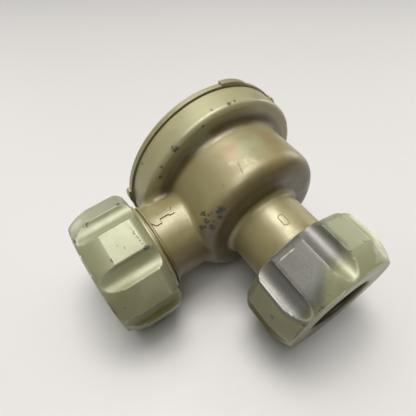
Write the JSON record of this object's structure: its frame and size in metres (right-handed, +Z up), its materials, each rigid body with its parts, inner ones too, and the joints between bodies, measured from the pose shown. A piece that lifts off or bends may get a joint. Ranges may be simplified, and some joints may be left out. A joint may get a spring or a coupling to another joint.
{
  "type": "water pressure regulator",
  "caption": "Right-angle water pressure regulator: round diaphragm body, two tubes with fluted swivel union nuts, and an adjusting screw on its cover.",
  "frame": {"origin": "on the surface the regulator lies on, under the middle of its bounding box", "axes": "+Z up from that surface; the inlet tube points along -Y and a little down, the outlet tube along -X and a little down, and the cover faces +Y"},
  "size_m": [0.105, 0.1132, 0.0769],
  "materials": {
    "body_paint": "satin",
    "nut_paint": "satin",
    "black_rubber": "matte",
    "clear_plastic": "matte",
    "brass": "machined",
    "zinc_steel": "zinc plated",
    "stainless": "satin",
    "spring_steel": "oiled"
  },
  "bodies": {
    "housing": {"body": "body_paint", "cover": "body_paint", "cover_gasket": "black_rubber", "slip_seal": "clear_plastic", "valve_seat": "brass", "spring_guide": "brass", "inlet_tail": "brass", "inlet_slip_ring": "nut_paint", "inlet_washer": "black_rubber", "inlet_strainer": "stainless", "outlet_tail": "brass", "outlet_slip_ring": "nut_paint", "outlet_washer": "black_rubber"},
    "valve": {"stem": "stainless", "stem_nut": "stainless", "upper_plate": "zinc_steel", "lower_plate": "zinc_steel", "diaphragm": "black_rubber", "valve_disc": "black_rubber", "disc_holder": "brass", "closing_spring": "stainless"},
    "inlet_nut": {"inlet_nut": "nut_paint"},
    "outlet_nut": {"outlet_nut": "nut_paint"},
    "spring_button": {"spring_button": "zinc_steel", "range_spring": "spring_steel"},
    "adjusting_screw": {"adjusting_screw": "zinc_steel"},
    "lock_nut": {"lock_nut": "zinc_steel"}
  },
  "joints": [
    {"name": "inlet_nut_swivel", "type": "hinge", "parent": "housing", "child": "inlet_nut", "pos_m": [0.01448, -0.03382, 0.02659], "axis": [0, -0.9814, -0.1922], "continuous": true},
    {"name": "outlet_nut_swivel", "type": "hinge", "parent": "housing", "child": "outlet_nut", "pos_m": [-0.03006, 0.00545, 0.02643], "axis": [-0.9854, 0.0328, -0.1673], "continuous": true},
    {"name": "valve_slide", "type": "slide", "parent": "housing", "child": "valve", "axis": [0, 0.9814, 0.1922], "range_m": [0, 0.00195], "stiffness_N_per_m": 5000, "springref_m": -0.004, "deforming": ["diaphragm", "closing_spring", "range_spring"]},
    {"name": "screw_travel", "type": "slide", "parent": "housing", "child": "spring_button", "axis": [0, -0.9814, -0.1922], "range_m": [-0.00125, 0.0025]},
    {"name": "screw_turn", "type": "hinge", "parent": "spring_button", "child": "adjusting_screw", "pos_m": [0.01448, 0.04813, 0.04264], "axis": [0, -0.9814, -0.1922], "range_deg": [-360, 720]},
    {"name": "lock_nut_turn", "type": "hinge", "parent": "housing", "child": "lock_nut", "pos_m": [0.01448, 0.04911, 0.04283], "axis": [0, 0.9814, 0.1922], "range_deg": [0, 90]}
  ],
  "couplings": [
    {"joint": "screw_turn", "follows": "screw_travel", "rad_per_m": 5026.5}
  ]
}
